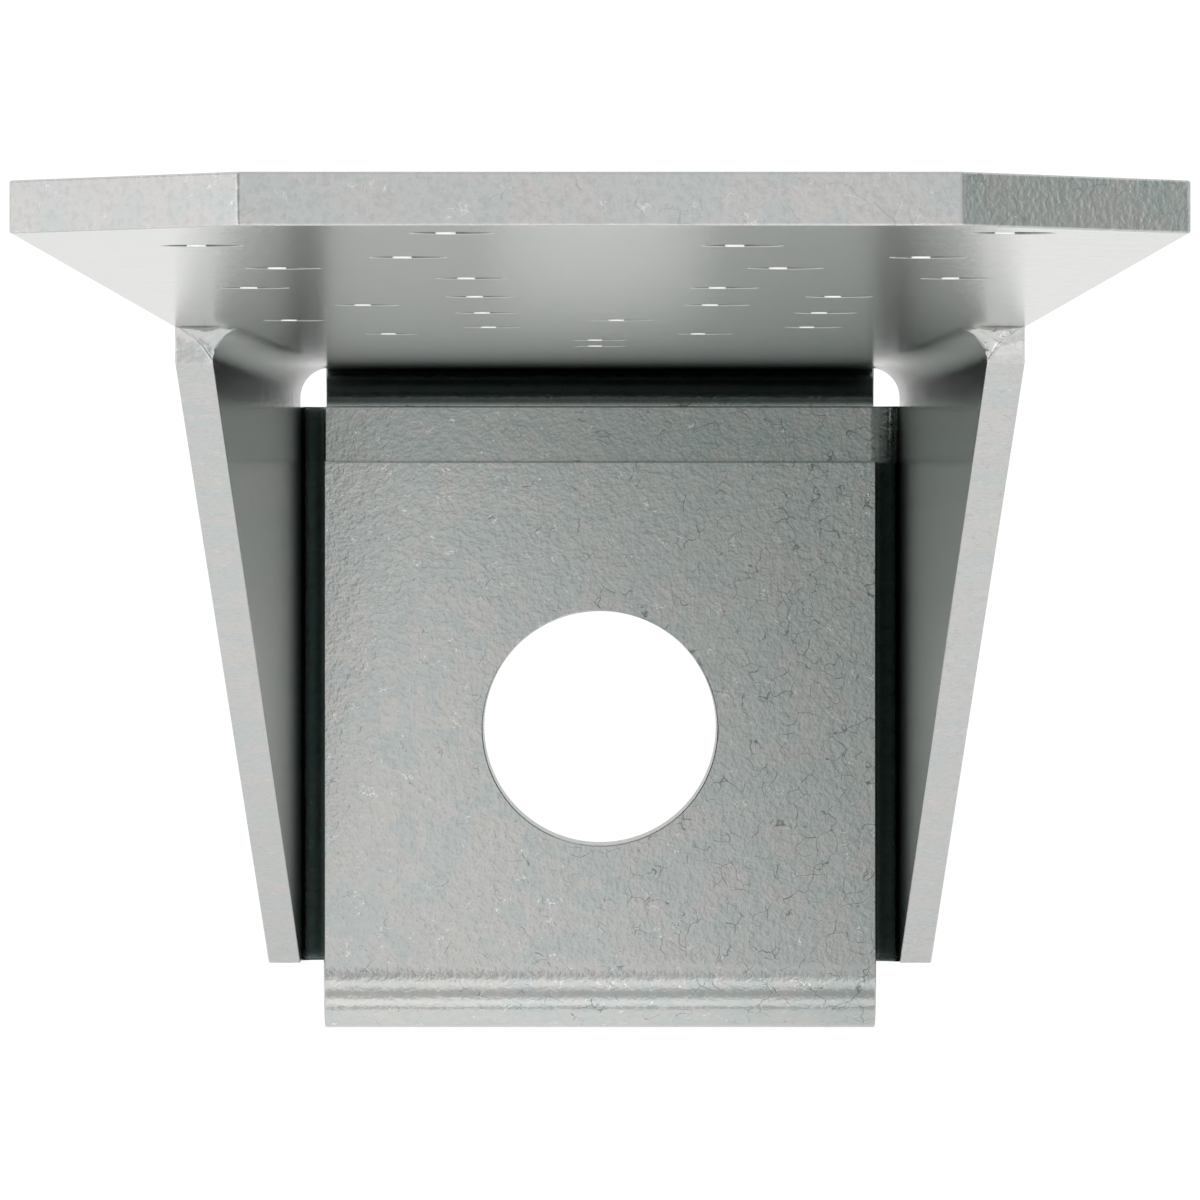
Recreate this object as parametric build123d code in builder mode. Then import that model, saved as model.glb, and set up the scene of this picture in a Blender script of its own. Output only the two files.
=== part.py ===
from build123d import *
import os

# A tension tie: it holds a post down to its foundation, and is folded from one galvanised sheet.
# A nailed strap runs up the post. Two tapered side flanges fold forwards from its lower part, and
# the seat at its foot is four layers of the same sheet, with one anchor bolt through all of them.
# X runs across the strap, Y points at the post and Z goes up. The origin lies on the anchor
# bolt's axis, on the underside of the seat. All sizes are in millimetres.

# Sheet and bends
sheet = 2.85
inner_radius = 2.7
lap_gap = 0.25

# Strap
strap_width = 63.5
tie_height = 406.4
bolt_to_post = 35.15
corner_clip = 12.7

# Side flanges: they stand a little closer together at the seat than at their tops
flange_height = 170.9
seat_width = 59.0
run_out = 3.5

# Seat
bolt_to_front_bend = 21.0
tongue_end_gap = 8.4
plate_back_gap = 3.4
bend_reach = 0.65
relief_gap = 1.25
anchor_hole = 21.0

# Nail holes
nail_hole = 4.4
row_pitch = 22.225
first_row_drop = 12.5
wide_spacing = 30.16
narrow_spacing = 23.81
small_shift = 3.97
medium_shift = 7.14
large_shift = 10.32
single_rows = 2

# How far the middle of each pair of nail holes lies off the strap's centreline, from the top down
wide_row_shifts = [medium_shift, -medium_shift, small_shift, -small_shift, medium_shift, -medium_shift]
narrow_row_shifts = [small_shift, -small_shift, small_shift, -large_shift, small_shift, -small_shift]

# Places that follow from the sizes above
half_strap = strap_width / 2
widest_half = max(strap_width, seat_width) / 2
strap_front = bolt_to_post - sheet
outer_radius = inner_radius + sheet
corner_y = bolt_to_post - outer_radius
layer = sheet + lap_gap
seat_top = 3 * layer + sheet
lower_plate = layer
upper_plate = 2 * layer
plate_back = strap_front - plate_back_gap
tongue_end = strap_front - tongue_end_gap
relief_height = upper_plate + outer_radius + relief_gap
strap_foot = flange_height + run_out


def half_width(height):
    """Half the outside width over the two flanges at a height above the seat's underside."""
    return seat_width / 2 + (strap_width - seat_width) / 2 * height / flange_height


half_seat = half_width(relief_height) - outer_radius + bend_reach

with BuildPart() as tension_tie:

    # Channel of strap and flanges: it widens from the relief up to the top of the flanges
    for height in [relief_height, flange_height]:
        with BuildSketch(Plane.XY.offset(height)):
            with BuildLine():
                outside = half_width(height)
                FilletPolyline(
                    (-outside, -bolt_to_front_bend),
                    (-outside, bolt_to_post),
                    (outside, bolt_to_post),
                    (outside, -bolt_to_front_bend),
                    radius=outer_radius,
                )
                offset(amount=sheet, side=Side.RIGHT)
            make_face()
    loft(ruled=True)

    # Free edges of the flanges, sheared on a slope from the seat's front up to the strap
    with BuildSketch(Plane.YZ):
        with BuildLine():
            Polyline(
                (-bolt_to_front_bend, relief_height),
                (corner_y, flange_height),
                (-bolt_to_front_bend, flange_height),
                close=True,
            )
        make_face()
    extrude(amount=widest_half, both=True, mode=Mode.SUBTRACT)

    # Strap above the flanges, with its top corners clipped
    with BuildSketch(Plane.XZ.offset(-bolt_to_post)):
        with BuildLine():
            Polyline(
                (-half_strap, strap_foot),
                (-half_strap, tie_height - corner_clip),
                (-half_strap + corner_clip, tie_height),
                (half_strap - corner_clip, tie_height),
                (half_strap, tie_height - corner_clip),
                (half_strap, strap_foot),
                close=True,
            )
        make_face()
    extrude(amount=sheet)

    # Just above the flanges, the corner bends open out into the flat strap
    flat_half = half_strap - outer_radius
    with BuildSketch(Plane.XZ.offset(-bolt_to_post)):
        with Locations((0, flange_height)):
            Rectangle(2 * flat_half, run_out, align=(Align.CENTER, Align.MIN))
    extrude(amount=sheet)
    for side in [-1, 1]:
        with BuildSketch(Plane.XY.offset(flange_height)):
            with BuildLine():
                bend_outside = CenterArc((side * flat_half, corner_y), outer_radius, 90, -90 * side)
                bend_inside = CenterArc((side * flat_half, corner_y), inner_radius, 90, -90 * side)
                Line(bend_outside @ 0, bend_inside @ 0)
                Line(bend_outside @ 1, bend_inside @ 1)
            make_face()
        with BuildSketch(Plane.XY.offset(strap_foot)):
            with Locations((side * (flat_half + outer_radius / 2), bolt_to_post - sheet / 2)):
                Rectangle(outer_radius, sheet)
        loft(ruled=True)

    # Seat plates: each folds in from the foot of its own flange across to the other flange, the
    # left one below and the right one above
    for side, plate_height in [(-1, lower_plate), (1, upper_plate)]:
        with BuildSketch(Plane.XZ.offset(bolt_to_front_bend)):
            with BuildLine():
                FilletPolyline(
                    (side * half_width(relief_height), relief_height),
                    (side * half_width(relief_height), plate_height),
                    (-side * half_seat, plate_height),
                    radius=outer_radius,
                )
                offset(amount=sheet, side=Side.RIGHT if side > 0 else Side.LEFT)
            make_face()
        extrude(amount=-bolt_to_front_bend - plate_back)

    # Tongue: down from the strap, under the two plates, round their front and back over the top.
    # The drawn line is the outside of the fold, and the sheet lies within it.
    with BuildSketch(Plane.YZ):
        with BuildLine():
            Line((bolt_to_post, relief_height), (bolt_to_post, outer_radius))
            heel = CenterArc((corner_y, outer_radius), outer_radius, 0, -90)
            Line(heel @ 1, (-bolt_to_front_bend, 0))
            front = CenterArc((-bolt_to_front_bend, seat_top / 2), seat_top / 2, -90, -180)
            Line(front @ 1, (tongue_end, seat_top))
            offset(amount=sheet, side=Side.RIGHT)
        make_face()
    extrude(amount=half_seat, both=True)

    # Anchor bolt hole, through the four layers of the seat
    with BuildSketch():
        Circle(anchor_hole / 2)
    extrude(amount=seat_top, mode=Mode.SUBTRACT)

    # Nail holes: pairs that step from side to side, then single holes on the centreline
    paired_rows = [(wide_spacing, shift) for shift in wide_row_shifts]
    paired_rows += [(narrow_spacing, shift) for shift in narrow_row_shifts]
    single_row_drop = first_row_drop + len(paired_rows) * row_pitch
    with BuildSketch(Plane.XZ.offset(-bolt_to_post)):
        for row, (spacing, shift) in enumerate(paired_rows):
            with Locations((shift, tie_height - first_row_drop - row * row_pitch)):
                with GridLocations(spacing, row_pitch, 2, 1):
                    Circle(nail_hole / 2)
        for row in range(single_rows):
            with Locations((0, tie_height - single_row_drop - row * row_pitch)):
                Circle(nail_hole / 2)
    extrude(amount=sheet, mode=Mode.SUBTRACT)

os.makedirs("parts", exist_ok=True)
tension_tie.part.label = "tension_tie"
export_step(tension_tie.part, "parts/tension_tie.step")
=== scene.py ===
import math

import bmesh
import bpy
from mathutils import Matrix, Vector
from mathutils.bvhtree import BVHTree


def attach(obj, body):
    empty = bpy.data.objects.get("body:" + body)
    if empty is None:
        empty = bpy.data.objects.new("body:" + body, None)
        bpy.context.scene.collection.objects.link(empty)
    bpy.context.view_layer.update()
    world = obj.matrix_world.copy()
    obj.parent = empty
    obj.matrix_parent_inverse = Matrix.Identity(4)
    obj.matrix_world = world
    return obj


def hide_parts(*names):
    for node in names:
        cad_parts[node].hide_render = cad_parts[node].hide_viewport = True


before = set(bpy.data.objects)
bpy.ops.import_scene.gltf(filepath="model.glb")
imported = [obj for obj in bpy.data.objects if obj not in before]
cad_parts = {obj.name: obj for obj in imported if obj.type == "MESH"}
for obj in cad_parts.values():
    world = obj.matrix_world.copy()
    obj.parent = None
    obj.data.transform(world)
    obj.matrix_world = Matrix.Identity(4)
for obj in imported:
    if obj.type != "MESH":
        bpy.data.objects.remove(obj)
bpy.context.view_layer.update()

mm = 0.001

# Sizes of the folded sheet, as the solid has them
sheet = 2.85 * mm
inner_radius = 2.7 * mm
outer_radius = inner_radius + sheet
layer = sheet + 0.25 * mm
seat_top = 3 * layer + sheet
half_strap = 31.75 * mm
half_seat_width = 29.5 * mm
flange_height = 170.9 * mm
strap_foot = flange_height + 3.5 * mm
flat_half = half_strap - outer_radius
tie_height = 406.4 * mm
corner_clip = 12.7 * mm
post_face = 35.15 * mm
strap_front = post_face - sheet
corner_y = post_face - outer_radius
relief_height = 2 * layer + outer_radius + 1.25 * mm
plate_back = strap_front - 3.4 * mm
tongue_end = strap_front - 8.4 * mm
front_bend = -21.0 * mm
anchor_radius = 10.5 * mm
nail_radius = 2.2 * mm

# Nail holes, from the top down: pairs that step from side to side, then single holes
row_pitch = 22.225 * mm
first_row_drop = 12.5 * mm
wide_spacing = 30.16 * mm
narrow_spacing = 23.81 * mm
small_shift = 3.97 * mm
medium_shift = 7.14 * mm
large_shift = 10.32 * mm
single_rows = 2
wide_row_shifts = [medium_shift, -medium_shift, small_shift, -small_shift, medium_shift, -medium_shift]
narrow_row_shifts = [small_shift, -small_shift, small_shift, -large_shift, small_shift, -small_shift]

# Mesh: near is how far a vertex may be off a place and still count as being there
near = 0.01 * mm
merge_within = 0.001 * mm
cut_within = 0.0001 * mm
chord_depth = 0.05 * mm
flat_angle = math.radians(0.5)
arc_cuts = 3
corner_cuts = 1
run_out_steps = 8
run_out_bulge = 0.5 * mm
edge_round = 0.14 * mm
edge_angle = math.radians(40)
shading_angle = math.radians(50)
step_near = 0.02 * mm
front_step = 0.1 * mm
back_step = 0.04 * mm
probe_start = 0.02 * mm
sheet_within = 0.3 * mm
burr_radius = 0.13 * mm
burr_start = math.radians(-116)
burr_sweep = math.radians(30)

# Textures, per metre
drift_scale = 560
drift_reach = 1.7 * mm
flake_scale = 400
crackle_scale = 620
crackle_patch_scale = 520
nick_scale = 1700
nick_patch_scale = 800
wave_scale = 240
sheet_grain_scale = 1500
cut_grain_scale = 2400
grit_scale = 3200
burr_scale = 2500
skin_bump = 0.05 * mm
grit_bump = 0.02 * mm

# Camera: it looks down the strap from above, as the photograph does
camera_height = 0.9653
camera_y = 0.01424
lens_mm = 318.96
sensor_mm = 36.0
camera_tilt = math.radians(-0.165)

# Studio
floor_half = 3.0
floor_glow = 1.05
across = (1.0, 0.4, 0.0)
studio_stops = [
    (0.04, 1.1), (0.12, 0.35), (0.38, 0.4), (0.47, 1.05), (0.54, 0.58), (0.86, 0.66), (0.95, 0.4),
]
front_stops = [(0.45, 0.0), (0.58, 0.75), (0.7, 0.7), (0.8, 0.2), (0.9, 0.25), (0.95, 0.9), (1.0, 0.8)]
front_rise = (0.02, 0.12)


def half_width(height):
    """Half the outside width over the two flanges at a height above the seat's underside."""
    return half_seat_width + (half_strap - half_seat_width) * height / flange_height


tongue_half_width = half_width(relief_height) - outer_radius + 0.65 * mm

# Where the tone and the painted shade change: each pair is where a tone starts and where it is full
inside_width = (27.5 * mm, 27.1 * mm)
inside_depth = (34.0 * mm, 33.4 * mm)
corner_shade_floor = (1.2 * mm, 1.8 * mm)
corner_shade_rise = (30.0 * mm, seat_top)
crevice_side = (tongue_half_width, tongue_half_width + 0.6 * mm)
crevice_back = (plate_back, plate_back + 0.6 * mm)
before_strap = (strap_front - 0.1 * mm, strap_front - 1.0 * mm)
right_side = (0.0, 1.0 * mm)
behind_tongue = (tongue_end, tongue_end + 0.2 * mm)
seat_level = (16.0 * mm, 12.5 * mm)
seat_floor = (0.5 * mm, 5.0 * mm)
seat_across = (-24.0 * mm, 34.0 * mm)
seat_slant = 0.6
plate_depth = (tongue_end, tongue_end + 0.1 * mm)
nail_width = (27.5 * mm, 27.0 * mm)
nail_top = (398.0 * mm, 397.5 * mm)
nail_foot = (60.0 * mm, 62.0 * mm)
wall_depth = (strap_front - 0.1 * mm, strap_front)
top_end = (tie_height - 0.2 * mm, tie_height - 0.05 * mm)
clip_rise = (tie_height - 14.0 * mm, tie_height - 13.0 * mm)
clip_side = (half_strap - corner_clip - 0.15 * mm, half_strap - corner_clip + 0.25 * mm)


def nail_hole_centres():
    """Centres of the nail holes as (x, z), from the top down."""
    pairs = [(wide_spacing, shift) for shift in wide_row_shifts]
    pairs += [(narrow_spacing, shift) for shift in narrow_row_shifts]
    centres = []
    for row, (spacing, shift) in enumerate(pairs):
        z = tie_height - first_row_drop - row * row_pitch
        centres += [(shift - spacing / 2, z), (shift + spacing / 2, z)]
    for row in range(len(pairs), len(pairs) + single_rows):
        centres.append((0.0, tie_height - first_row_drop - row * row_pitch))
    return centres


def make_camera():
    data = bpy.data.cameras.new("photo_camera")
    data.lens = lens_mm
    data.sensor_width = sensor_mm
    camera = bpy.data.objects.new("photo_camera", data)
    camera.location = (0.0, camera_y, camera_height)
    camera.rotation_euler = (camera_tilt, 0.0, 0.0)
    bpy.context.collection.objects.link(camera)
    bpy.context.scene.camera = camera


def make_floor():
    """A plain floor that glows white, as the photograph's background does."""
    mesh = bpy.data.meshes.new("floor")
    s = floor_half
    mesh.from_pydata([(-s, -s, 0), (s, -s, 0), (s, s, 0), (-s, s, 0)], [], [(0, 1, 2, 3)])
    floor = bpy.data.objects.new("floor", mesh)
    bpy.context.collection.objects.link(floor)
    material = bpy.data.materials.new("pale_floor")
    material.use_nodes = True
    shader = material.node_tree.nodes["Principled BSDF"]
    shader.inputs["Base Color"].default_value = (0.0, 0.0, 0.0, 1)
    shader.inputs["Roughness"].default_value = 0.9
    shader.inputs["Specular IOR Level"].default_value = 0.0
    shader.inputs["Emission Color"].default_value = (1, 1, 1, 1)
    shader.inputs["Emission Strength"].default_value = floor_glow
    mesh.materials.append(material)


def make_studio():
    """Soft light by its side: a bright strip low on the left, a dim wall, a wide softbox from
    overhead to the right, a dark strip low on the right, and two bright bands in front."""
    world = bpy.data.worlds.new("studio")
    world.use_nodes = True
    tree = world.node_tree
    direction = tree.nodes.new("ShaderNodeTexCoord").outputs["Generated"]
    side_of = tree.nodes.new("ShaderNodeVectorMath")
    side_of.operation = "DOT_PRODUCT"
    side_of.inputs[1].default_value = across
    tree.links.new(direction, side_of.inputs[0])
    share = tree.nodes.new("ShaderNodeMapRange")
    share.inputs["From Min"].default_value = -1.0
    tree.links.new(side_of.outputs["Value"], share.inputs["Value"])
    sides = grey_ramp(tree, share.outputs["Result"], studio_stops)
    x, y, z = axes(tree, direction)
    front = grey_ramp(tree, scaled(tree, y, -1.0), front_stops)
    light = mix(tree, "ADD", sides, front, between(tree, z, front_rise))
    tree.links.new(light, tree.nodes["Background"].inputs["Color"])
    bpy.context.scene.world = world


def new_material(name):
    material = bpy.data.materials.new(name)
    material.use_nodes = True
    tree = material.node_tree
    place = tree.nodes.new("ShaderNodeTexCoord").outputs["Object"]
    return material, tree, tree.nodes["Principled BSDF"], place


def axes(tree, place):
    node = tree.nodes.new("ShaderNodeSeparateXYZ")
    tree.links.new(place, node.inputs["Vector"])
    return node.outputs["X"], node.outputs["Y"], node.outputs["Z"]


def combine(tree, operation, first, second=None):
    node = tree.nodes.new("ShaderNodeMath")
    node.operation = operation
    tree.links.new(first, node.inputs[0])
    if second is not None:
        tree.links.new(second, node.inputs[1])
    return node.outputs["Value"]


def scaled(tree, value, factor):
    node = tree.nodes.new("ShaderNodeMath")
    node.operation = "MULTIPLY"
    node.inputs[1].default_value = factor
    tree.links.new(value, node.inputs[0])
    return node.outputs["Value"]


def all_of(tree, *amounts):
    """The amounts multiplied together, so it is 1 only where each of them is."""
    result = amounts[0]
    for amount in amounts[1:]:
        result = combine(tree, "MULTIPLY", result, amount)
    return result


def between(tree, value, span):
    """0 at the span's start, 1 at its end and beyond, eased."""
    node = tree.nodes.new("ShaderNodeMapRange")
    node.interpolation_type = "SMOOTHSTEP"
    node.inputs["From Min"].default_value = span[0]
    node.inputs["From Max"].default_value = span[1]
    tree.links.new(value, node.inputs["Value"])
    return node.outputs["Result"]


def noise(tree, place, scale, detail):
    node = tree.nodes.new("ShaderNodeTexNoise")
    node.inputs["Scale"].default_value = scale
    node.inputs["Detail"].default_value = detail
    tree.links.new(place, node.inputs["Vector"])
    return node.outputs["Fac"]


def ramp(tree, value, stops):
    """stops are (position, colour) pairs."""
    node = tree.nodes.new("ShaderNodeValToRGB")
    elements = node.color_ramp.elements
    while len(elements) < len(stops):
        elements.new(0.5)
    for element, (position, colour) in zip(elements, stops):
        element.position = position
        element.color = (*colour, 1)
    tree.links.new(value, node.inputs["Fac"])
    return node.outputs["Color"]


def grey_ramp(tree, value, stops):
    return ramp(tree, value, [(place, (level, level, level)) for place, level in stops])


def shade(tree, amount, colour):
    """White where the amount is 0, and the colour where it is 1."""
    return ramp(tree, amount, [(0.0, (1, 1, 1)), (1.0, colour)])


def mix(tree, blend, first, second, factor, clamp=False):
    """Mixes two colours. The second may be a plain colour, and the factor a plain number."""
    node = tree.nodes.new("ShaderNodeMix")
    node.data_type = "RGBA"
    node.blend_type = blend
    node.clamp_result = clamp
    if isinstance(factor, float):
        node.inputs["Factor"].default_value = factor
    else:
        tree.links.new(factor, node.inputs["Factor"])
    tree.links.new(first, node.inputs[6])
    if isinstance(second, tuple):
        node.inputs[7].default_value = (*second, 1)
    else:
        tree.links.new(second, node.inputs[7])
    return node.outputs[2]


def multiply(tree, first, second, factor=1.0):
    return mix(tree, "MULTIPLY", first, second, factor)


def bump(tree, height, distance, strength, under=None):
    node = tree.nodes.new("ShaderNodeBump")
    node.inputs["Strength"].default_value = strength
    node.inputs["Distance"].default_value = distance
    tree.links.new(height, node.inputs["Height"])
    if under is not None:
        tree.links.new(under, node.inputs["Normal"])
    return node.outputs["Normal"]


def crooked(tree, place):
    """Coordinates with a fine drift, so that the cells drawn over them get crooked edges."""
    drift = tree.nodes.new("ShaderNodeTexNoise")
    drift.inputs["Scale"].default_value = drift_scale
    drift.inputs["Detail"].default_value = 1
    tree.links.new(place, drift.inputs["Vector"])
    shift = tree.nodes.new("ShaderNodeVectorMath")
    shift.operation = "SCALE"
    shift.inputs["Scale"].default_value = drift_reach
    tree.links.new(drift.outputs["Color"], shift.inputs[0])
    moved = tree.nodes.new("ShaderNodeVectorMath")
    tree.links.new(place, moved.inputs[0])
    tree.links.new(shift.outputs["Vector"], moved.inputs[1])
    return moved.outputs["Vector"]


def cells(tree, place, scale, feature):
    node = tree.nodes.new("ShaderNodeTexVoronoi")
    node.feature = feature
    node.inputs["Scale"].default_value = scale
    tree.links.new(place, node.inputs["Vector"])
    return node.outputs["Distance" if feature == "DISTANCE_TO_EDGE" else "Color"]


def flakes(tree, place, stops):
    """Faint angular flakes of blue-green, grey and pinkish zinc."""
    split = tree.nodes.new("ShaderNodeSeparateColor")
    tree.links.new(cells(tree, place, flake_scale, "F1"), split.inputs["Color"])
    return ramp(tree, split.outputs["Red"], stops)


def crack_lines(tree, place):
    """Thin angular crackle, in places only and more of it towards +X."""
    edge = cells(tree, place, crackle_scale, "DISTANCE_TO_EDGE")
    lines = ramp(tree, edge, [(0.0, (0.24, 0.26, 0.25)), (0.022, (1, 1, 1))])
    x, y, z = axes(tree, place)
    lean = tree.nodes.new("ShaderNodeMapRange")
    lean.inputs["From Min"].default_value = -half_strap
    lean.inputs["From Max"].default_value = half_strap
    lean.inputs["To Min"].default_value = -0.13
    lean.inputs["To Max"].default_value = 0.11
    tree.links.new(x, lean.inputs["Value"])
    amount = combine(tree, "ADD", noise(tree, place, crackle_patch_scale, 3), lean.outputs["Result"])
    bare = ramp(tree, amount, [(0.49, (1, 1, 1)), (0.6, (0, 0, 0))])
    return mix(tree, "ADD", lines, bare, 1.0, clamp=True)


def sparkle(tree, place, under, amount):
    """Tiny bright nicks over the colour under them."""
    line_stops = [(0.475, (0, 0, 0)), (0.5, (1, 1, 1)), (0.525, (0, 0, 0))]
    patch_stops = [(0.64 - amount, (0, 0, 0)), (0.72 - amount, (1, 1, 1))]
    lines = ramp(tree, noise(tree, place, nick_scale, 1), line_stops)
    here = ramp(tree, noise(tree, place, nick_patch_scale, 2), patch_stops)
    return mix(tree, "MIX", under, (0.98, 0.98, 0.97), multiply(tree, lines, here))


def painted_corner_shade(tree, place):
    """Painted shade: dark green-grey inside the corners round the seat, and darker still on the heel behind
    the plates. The upper plate's bend at +X is left out, so that its highlight can show."""
    x, y, z = axes(tree, place)
    width = combine(tree, "ABSOLUTE", x)
    low = all_of(
        tree,
        between(tree, width, inside_width),
        between(tree, y, inside_depth),
        between(tree, z, corner_shade_floor),
        between(tree, z, corner_shade_rise),
    )
    behind = all_of(tree, between(tree, y, crevice_back), between(tree, y, before_strap))
    plate_bend = all_of(tree, between(tree, x, right_side), between(tree, y, behind_tongue))
    beside = combine(tree, "SUBTRACT", between(tree, width, crevice_side), plate_bend)
    corner = all_of(tree, combine(tree, "MAXIMUM", beside, behind), low)
    heel = all_of(tree, behind, low)
    # Painted shade: green-grey in the corners, and a darker grey on the heel behind the plates
    corner_shade = shade(tree, corner, (0.42, 0.50, 0.49))
    dark = shade(tree, heel, (0.30, 0.30, 0.30))
    return multiply(tree, corner_shade, dark)


def painted_seat_shade(tree, place):
    """Painted shade on the seat: darker towards the strap and towards +X, where the flanges keep light off
    it, and most of all on the plate behind it.
    """
    x, y, z = axes(tree, place)
    low = all_of(
        tree,
        between(tree, z, seat_level),
        between(tree, z, seat_floor),
        between(tree, y, inside_depth),
        between(tree, combine(tree, "ABSOLUTE", x), inside_width),
    )
    slanted = combine(tree, "ADD", x, scaled(tree, y, seat_slant))
    far = all_of(tree, between(tree, slanted, seat_across), low)
    plate = all_of(tree, between(tree, y, plate_depth), low)
    # Painted shade across the seat, and on the plate beyond the tongue's end
    over = shade(tree, far, (0.60, 0.63, 0.62))
    under = shade(tree, plate, (0.84, 0.86, 0.86))
    return multiply(tree, over, under)


def make_sheet_zinc():
    """Rolled zinc face: faint green and pink flakes, crackle, sparkle and an orange-peel skin."""
    material, tree, shader, place = new_material("zinc_sheet_face")
    drifted = crooked(tree, place)
    grain = noise(tree, place, sheet_grain_scale, 2)
    tones = [(0.1, (0.557, 0.592, 0.58)), (0.45, (0.58, 0.60, 0.585)), (0.9, (0.61, 0.605, 0.588))]
    mottle = ramp(tree, grain, [(0.3, (0.88, 0.89, 0.89)), (0.65, (1, 1, 1))])
    tone = multiply(tree, flakes(tree, drifted, tones), mottle, 0.6)
    tone = multiply(tree, tone, crack_lines(tree, drifted), 0.8)
    tone = sparkle(tree, place, tone, 0.035)
    # Painted shade in the corners round the seat and on the heel
    tone = multiply(tree, tone, painted_corner_shade(tree, place))
    # Painted shade across the seat
    tone = multiply(tree, tone, painted_seat_shade(tree, place))
    tree.links.new(tone, shader.inputs["Base Color"])
    wave = bump(tree, noise(tree, place, wave_scale, 1), skin_bump, 0.35)
    skin = bump(tree, grain, skin_bump, 0.4, wave)
    grit = bump(tree, noise(tree, place, grit_scale, 1), grit_bump, 0.6, skin)
    tree.links.new(grit, shader.inputs["Normal"])
    shader.inputs["Roughness"].default_value = 0.16
    shader.inputs["Metallic"].default_value = 1.0
    shader.inputs["Specular Tint"].default_value = (0.83, 0.835, 0.815, 1)
    return material


def painted_hole_wall_shade(tree, place):
    """Painted shade on the walls of the nail holes: dark inside the strap's thickness, away from its edges.
    """
    x, y, z = axes(tree, place)
    wall = all_of(
        tree,
        between(tree, combine(tree, "ABSOLUTE", x), nail_width),
        between(tree, z, nail_top),
        between(tree, z, nail_foot),
        between(tree, y, wall_depth),
    )
    # Painted shade: the hole walls are darkened
    return shade(tree, wall, (0.3, 0.31, 0.31))


def end_tone_and_clip_shade(tree, place):
    """The strap's top end is the palest cut face. Its clipped corner at +X carries painted shade, as that
    side gets less light.
    """
    x, y, z = axes(tree, place)
    # Painted shade on the clipped corner at +X
    clip = all_of(tree, between(tree, z, clip_rise), between(tree, x, clip_side))
    pale = grey_ramp(tree, between(tree, z, top_end), [(0.0, 0.86), (1.0, 1.0)])
    return multiply(tree, pale, shade(tree, clip, (0.80, 0.86, 0.83)))


def make_cut_zinc():
    """Sheared edge: paler and rougher, with flakes, faint crackle, sparkle and a lumpy skin."""
    material, tree, shader, place = new_material("zinc_cut_edge")
    drifted = crooked(tree, place)
    grain = noise(tree, place, cut_grain_scale, 2)
    tones = [(0.1, (0.70, 0.735, 0.73)), (0.5, (0.73, 0.74, 0.73)), (0.9, (0.765, 0.745, 0.73))]
    pitted = ramp(tree, grain, [(0.34, (0.76, 0.77, 0.76)), (0.52, (1, 1, 1))])
    tone = multiply(tree, flakes(tree, drifted, tones), crack_lines(tree, drifted), 0.3)
    tone = multiply(tree, tone, pitted, 0.35)
    tone = sparkle(tree, place, tone, 0.05)
    # Top end paler, and painted shade on the clipped corner at +X
    tone = multiply(tree, tone, end_tone_and_clip_shade(tree, place))
    # Painted shade in the nail holes
    tone = multiply(tree, tone, painted_hole_wall_shade(tree, place))
    tree.links.new(tone, shader.inputs["Base Color"])
    tree.links.new(bump(tree, grain, skin_bump, 0.8), shader.inputs["Normal"])
    shader.inputs["Roughness"].default_value = 0.3
    shader.inputs["Metallic"].default_value = 1.0
    shader.inputs["Specular Tint"].default_value = (0.7, 0.7, 0.69, 1)
    return material


def make_burr_zinc():
    """Bright, smooth zinc where the punch has polished a hole's lip."""
    material, tree, shader, place = new_material("zinc_burr")
    stops = [(0.3, (0.9, 0.9, 0.89)), (0.6, (0.98, 0.98, 0.98))]
    tree.links.new(ramp(tree, noise(tree, place, burr_scale, 3), stops), shader.inputs["Base Color"])
    shader.inputs["Roughness"].default_value = 0.3
    shader.inputs["Metallic"].default_value = 1.0
    return material


def open_run_outs(bm):
    """Takes out the surfaces that run from the corner bends into the flat strap."""

    def in_run_out(vert):
        level = flange_height - near < vert.co.z < strap_foot + near
        return level and abs(vert.co.x) > flat_half - near

    inside = [face for face in bm.faces if all(in_run_out(v) for v in face.verts)]
    bmesh.ops.delete(bm, geom=inside, context="FACES")


def cut_through_holes(bm):
    """Edges through the middle of the holes, so that no flat face needs slanting ones beside them.
    The row level with the run-outs goes without."""
    planes = [((0, 0, 0), (1, 0, 0))]
    for z in sorted({z for x, z in nail_hole_centres()}):
        if not flange_height < z < strap_foot:
            planes.append(((0, 0, z), (0, 0, 1)))
    for place, normal in planes:
        everything = bm.verts[:] + bm.edges[:] + bm.faces[:]
        made = bmesh.ops.bisect_plane(bm, geom=everything, dist=cut_within, plane_co=place, plane_no=normal)
        for item in made["geom_cut"]:
            if isinstance(item, bmesh.types.BMEdge):
                item.seam = True


def round_arc(bm, axis, centre_at, radius, cuts=arc_cuts):
    """Adds points along the facets of one bend or hole and sets them on its true radius. axis is
    0, 1 or 2, and centre_at gives the other two coordinates of the centre at a place along it."""
    others = [i for i in range(3) if i != axis]

    def offset_of(vert):
        return Vector((vert.co[others[0]], vert.co[others[1]])) - Vector(centre_at(vert.co[axis]))

    def set_on_radius(vert):
        place = offset_of(vert).normalized() * radius + Vector(centre_at(vert.co[axis]))
        vert.co[others[0]] = place.x
        vert.co[others[1]] = place.y

    for vert in bm.verts:
        miss = abs(offset_of(vert).length - radius)
        if near / 10 < miss < chord_depth and any(e.seam for e in vert.link_edges):
            set_on_radius(vert)
    arc_edges = []
    for edge in bm.edges:
        first, second = edge.verts
        level = abs(first.co[axis] - second.co[axis]) < near
        if level and all(abs(offset_of(v).length - radius) < near for v in edge.verts):
            arc_edges.append(edge)
    made = bmesh.ops.subdivide_edges(bm, edges=arc_edges, cuts=cuts, use_grid_fill=True)
    for item in made["geom_inner"]:
        if isinstance(item, bmesh.types.BMVert) and offset_of(item).length > radius / 2:
            set_on_radius(item)


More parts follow.
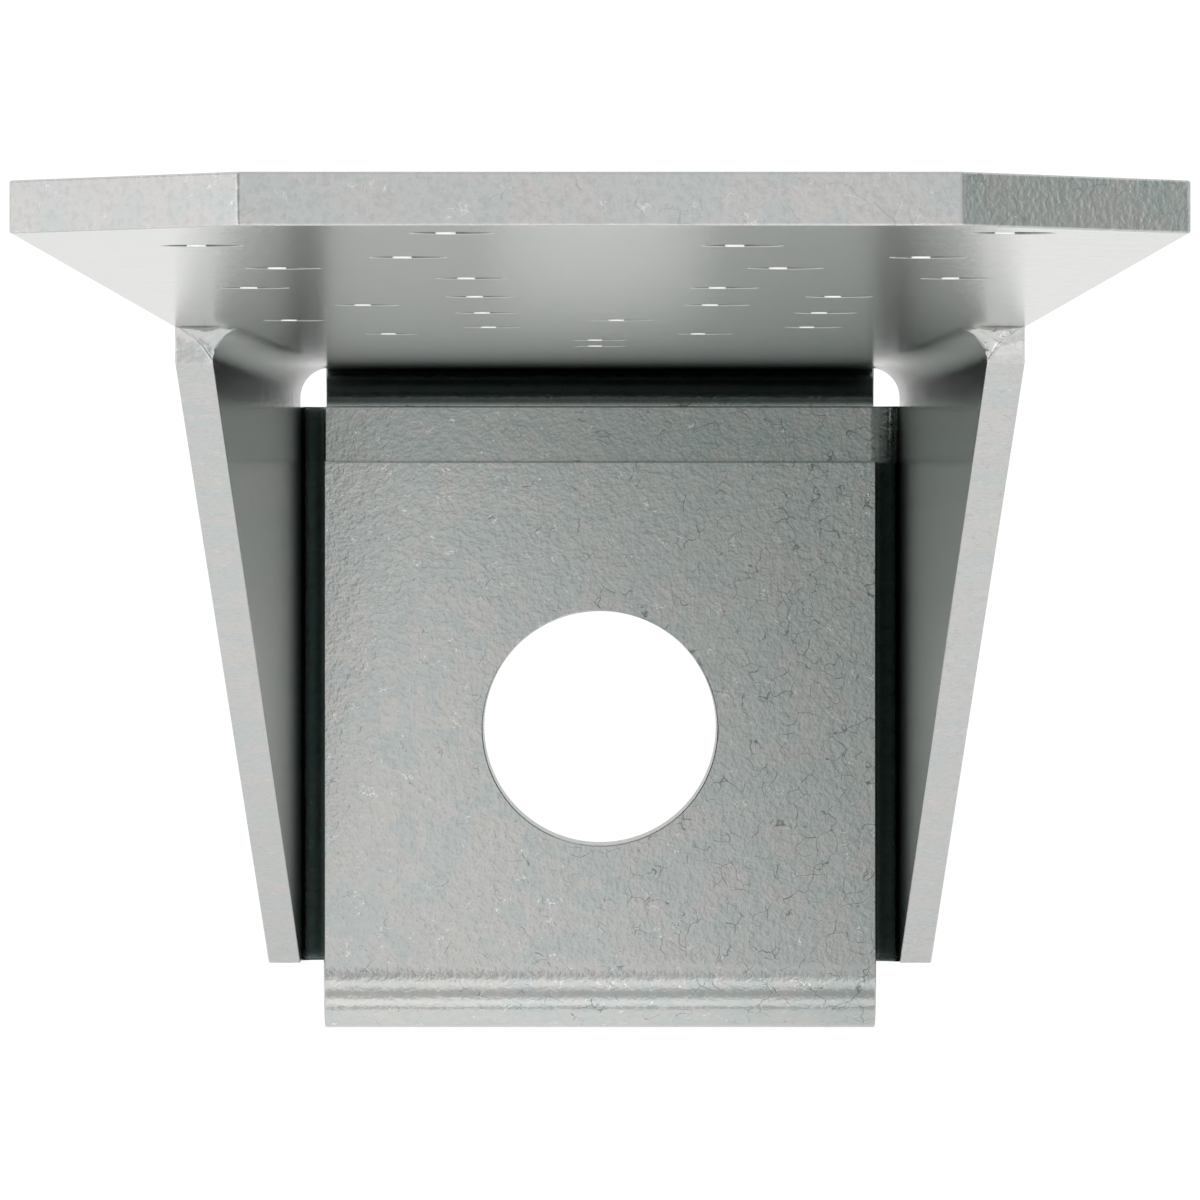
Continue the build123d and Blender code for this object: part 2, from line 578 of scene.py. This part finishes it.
def round_bends(bm):
    """Sets each bend and each hole on its true radius."""
    round_arc(bm, 2, lambda z: (0.0, 0.0), anchor_radius)
    for side in (-1, 1):
        for radius in (inner_radius, outer_radius):

            def corner_centre(z, side=side):
                return side * (half_width(z) - outer_radius), corner_y

            round_arc(bm, 2, corner_centre, radius, corner_cuts)
    for radius in (seat_top / 2, seat_top / 2 - sheet):
        round_arc(bm, 0, lambda x: (front_bend, seat_top / 2), radius)
    for radius in (inner_radius, outer_radius):
        round_arc(bm, 0, lambda x: (corner_y, outer_radius), radius)
    for centre in nail_hole_centres():
        round_arc(bm, 1, lambda y, centre=centre: centre, nail_radius)


def vert_at(bm, x, y, z):
    place = Vector((x, y, z))
    return min(bm.verts, key=lambda v: (v.co - place).length)


def split_straight(bm, start, end, count):
    """The vertices along one straight edge, once it is split into equal parts."""
    line = [start]
    for i in range(1, count):
        edge = bm.edges.get((line[-1], end))
        vert = bmesh.utils.edge_split(edge, line[-1], 0.5)[1]
        vert.co = start.co.lerp(end.co, i / count)
        line.append(vert)
    return line + [end]


def bend_top(bm, side, radius):
    """The vertices at the top of one corner bend's face, from the strap to the flange."""
    centre = Vector((side * flat_half, corner_y))

    def on_bend(vert):
        level = abs(vert.co.z - flange_height) < near
        in_corner = vert.co.y > corner_y - near and side * vert.co.x > flat_half - near
        return level and in_corner and abs((vert.co.xy - centre).length - radius) < near

    return sorted((v for v in bm.verts if on_bend(v)), key=lambda v: abs(v.co.x))


def run_out_grid(bm, side, radius, face_y):
    """Rows of vertices from one corner bend's top up to the foot of the flat strap. They bulge,
    so that the sheet's end turns in a smooth curve."""
    arc = bend_top(bm, side, radius)
    count = len(arc) - 1
    flat_top = vert_at(bm, side * flat_half, face_y, strap_foot)
    end_top = vert_at(bm, side * half_strap, face_y, strap_foot)
    top = split_straight(bm, flat_top, end_top, count)
    seam = split_straight(bm, arc[0], flat_top, run_out_steps)
    grid = [arc]
    for i in range(1, run_out_steps):
        t = i / run_out_steps
        row = [seam[i]]
        for j in range(1, count + 1):
            place = arc[j].co.lerp(top[j].co, t)
            place.y += run_out_bulge * 4 * t * (1 - t) * (j / count) ** 2
            row.append(bm.verts.new(place))
        grid.append(row)
    return grid + [top]


def grid_faces(bm, grid):
    faces = []
    for low, high in zip(grid, grid[1:]):
        for j in range(len(low) - 1):
            faces.append(bm.faces.new((low[j], low[j + 1], high[j + 1], high[j])))
    return faces


def close_run_outs(bm):
    """The run-outs again as even grids, with the sheet's end between them. Gives the rolled faces
    and the ends."""
    rolled = []
    ends = []
    for side in (-1, 1):
        inner = run_out_grid(bm, side, inner_radius, strap_front)
        rolled += grid_faces(bm, inner)
        outer = run_out_grid(bm, side, outer_radius, post_face)
        rolled += grid_faces(bm, outer)
        for i in range(run_out_steps):
            corners = (outer[i][-1], inner[i][-1], inner[i + 1][-1], outer[i + 1][-1])
            ends.append(bm.faces.new(corners))
    bmesh.ops.recalc_face_normals(bm, faces=bm.faces)
    return rolled, ends


def mark_cut_faces(bm, rolled, ends):
    """A rolled face has one sheet thickness behind it. Every other face is a cut edge."""
    tree = BVHTree.FromBMesh(bm)
    largest = {}
    for loops in bm.calc_loop_triangles():
        a, b, c = (loop.vert.co for loop in loops)
        area = (b - a).cross(c - a).length
        face = loops[0].face
        if face not in largest or area > largest[face][0]:
            largest[face] = (area, (a + b + c) / 3)
    for face in bm.faces:
        inwards = -face.normal
        start = largest[face][1] + inwards * probe_start
        hit = tree.ray_cast(start, inwards)
        thick = hit[3] is not None and abs(hit[3] + probe_start - sheet) < sheet_within
        face.material_index = 0 if thick else 1
    for face in rolled:
        face.material_index = 0
    for face in ends:
        face.material_index = 1


def at_step(edge):
    """The hairline steps at front and back, where the tongue's side meets the corner bends."""
    level = all(abs(v.co.z - relief_height) < step_near for v in edge.verts)
    back = all(v.co.y > post_face - back_step for v in edge.verts)
    front = all(strap_front - front_step < v.co.y < strap_front + step_near for v in edge.verts)
    return level and (back or front)


def ease_edges(bm):
    """Rounds the sharp edges, and keeps the sides flush with the solid's."""
    sharp = [e for e in bm.edges if e.is_manifold and e.calc_face_angle() > edge_angle and not at_step(e)]
    bmesh.ops.bevel(bm, geom=sharp, offset=edge_round, segments=2, profile=0.5,
                    affect="EDGES", clamp_overlap=False, material=-1)
    for vert in bm.verts:
        vert.co.x = max(-half_strap, min(half_strap, vert.co.x))


def even_normals(piece):
    """Flat faces keep their own normals right up to the eased edges."""
    modifier = piece.modifiers.new("even_normals", "WEIGHTED_NORMAL")
    modifier.mode = "FACE_AREA"
    modifier.weight = 100
    modifier.keep_sharp = True
    depsgraph = bpy.context.evaluated_depsgraph_get()
    mesh = bpy.data.meshes.new_from_object(piece.evaluated_get(depsgraph))
    piece.modifiers.remove(modifier)
    piece.data = mesh


def make_tie(sheet_zinc, cut_zinc):
    """The folded tie: the solid's own form with true arcs, eased edges and its cut edges marked."""
    bm = bmesh.new()
    bm.from_mesh(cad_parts["tension_tie"].data)
    bmesh.ops.remove_doubles(bm, verts=bm.verts, dist=merge_within)
    open_run_outs(bm)
    cut_through_holes(bm)
    bmesh.ops.dissolve_limit(bm, angle_limit=flat_angle, verts=bm.verts, edges=bm.edges, delimit={"SEAM"})
    round_bends(bm)
    rolled, ends = close_run_outs(bm)
    mark_cut_faces(bm, rolled, ends)
    ease_edges(bm)
    for face in bm.faces:
        face.smooth = True
    mesh = bpy.data.meshes.new("folded_tie")
    bm.to_mesh(mesh)
    bm.free()
    mesh.materials.append(sheet_zinc)
    mesh.materials.append(cut_zinc)
    mesh.set_sharp_from_angle(angle=shading_angle)
    tie = bpy.data.objects.new("folded_tie", mesh)
    bpy.context.collection.objects.link(tie)
    even_normals(tie)
    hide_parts("tension_tie")
    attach(tie, "root")


def make_burr_tree(material):
    """Geometry nodes for a burr on each point. Also gives the identifiers of the two radii."""
    tree = bpy.data.node_groups.new("punched_burrs", "GeometryNodeTree")
    face = tree.interface
    face.new_socket("Geometry", in_out="INPUT", socket_type="NodeSocketGeometry")
    hole_in = face.new_socket("Hole radius", in_out="INPUT", socket_type="NodeSocketFloat")
    burr_in = face.new_socket("Burr radius", in_out="INPUT", socket_type="NodeSocketFloat")
    face.new_socket("Geometry", in_out="OUTPUT", socket_type="NodeSocketGeometry")
    nodes = tree.nodes
    links = tree.links
    given = nodes.new("NodeGroupInput")
    lip = nodes.new("GeometryNodeCurveArc")
    lip.inputs["Resolution"].default_value = 12
    lip.inputs["Start Angle"].default_value = burr_start
    lip.inputs["Sweep Angle"].default_value = burr_sweep
    links.new(given.outputs["Hole radius"], lip.inputs["Radius"])
    profile = nodes.new("GeometryNodeCurvePrimitiveCircle")
    profile.inputs["Resolution"].default_value = 10
    links.new(given.outputs["Burr radius"], profile.inputs["Radius"])
    burr = nodes.new("GeometryNodeCurveToMesh")
    burr.inputs["Fill Caps"].default_value = True
    links.new(lip.outputs["Curve"], burr.inputs["Curve"])
    links.new(profile.outputs["Curve"], burr.inputs["Profile Curve"])
    upright = nodes.new("GeometryNodeTransform")
    upright.inputs["Rotation"].default_value = (math.radians(90), 0, 0)
    links.new(burr.outputs["Mesh"], upright.inputs["Geometry"])
    place = nodes.new("GeometryNodeInstanceOnPoints")
    links.new(given.outputs["Geometry"], place.inputs["Points"])
    links.new(upright.outputs["Geometry"], place.inputs["Instance"])
    real = nodes.new("GeometryNodeRealizeInstances")
    links.new(place.outputs["Instances"], real.inputs["Geometry"])
    finish = nodes.new("GeometryNodeSetMaterial")
    finish.inputs["Material"].default_value = material
    links.new(real.outputs["Geometry"], finish.inputs["Geometry"])
    result = nodes.new("NodeGroupOutput")
    links.new(finish.outputs["Geometry"], result.inputs["Geometry"])
    return tree, hole_in.identifier, burr_in.identifier


def make_nail_burrs(material):
    """A short bright burr on the lower lip of each punched nail hole."""
    points = bpy.data.meshes.new("burr_places")
    depth = strap_front + edge_round
    points.from_pydata([(x, depth, z) for x, z in nail_hole_centres()], [], [])
    base = bpy.data.objects.new("burr_places", points)
    bpy.context.collection.objects.link(base)
    modifier = base.modifiers.new("punched_burrs", "NODES")
    tree, hole_key, burr_key = make_burr_tree(material)
    modifier.node_group = tree
    modifier[hole_key] = nail_radius
    modifier[burr_key] = burr_radius
    depsgraph = bpy.context.evaluated_depsgraph_get()
    mesh = bpy.data.meshes.new_from_object(base.evaluated_get(depsgraph))
    bpy.data.objects.remove(base)
    for polygon in mesh.polygons:
        polygon.use_smooth = True
    burrs = bpy.data.objects.new("nail_hole_burrs", mesh)
    bpy.context.collection.objects.link(burrs)
    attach(burrs, "root")


make_camera()
make_floor()
make_studio()
sheet_zinc = make_sheet_zinc()
cut_zinc = make_cut_zinc()
make_tie(sheet_zinc, cut_zinc)
make_nail_burrs(make_burr_zinc())
for cad_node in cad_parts.values():
    for material_slot in cad_node.material_slots:
        material_slot.material = sheet_zinc
bpy.context.scene.view_settings.view_transform = "Standard"
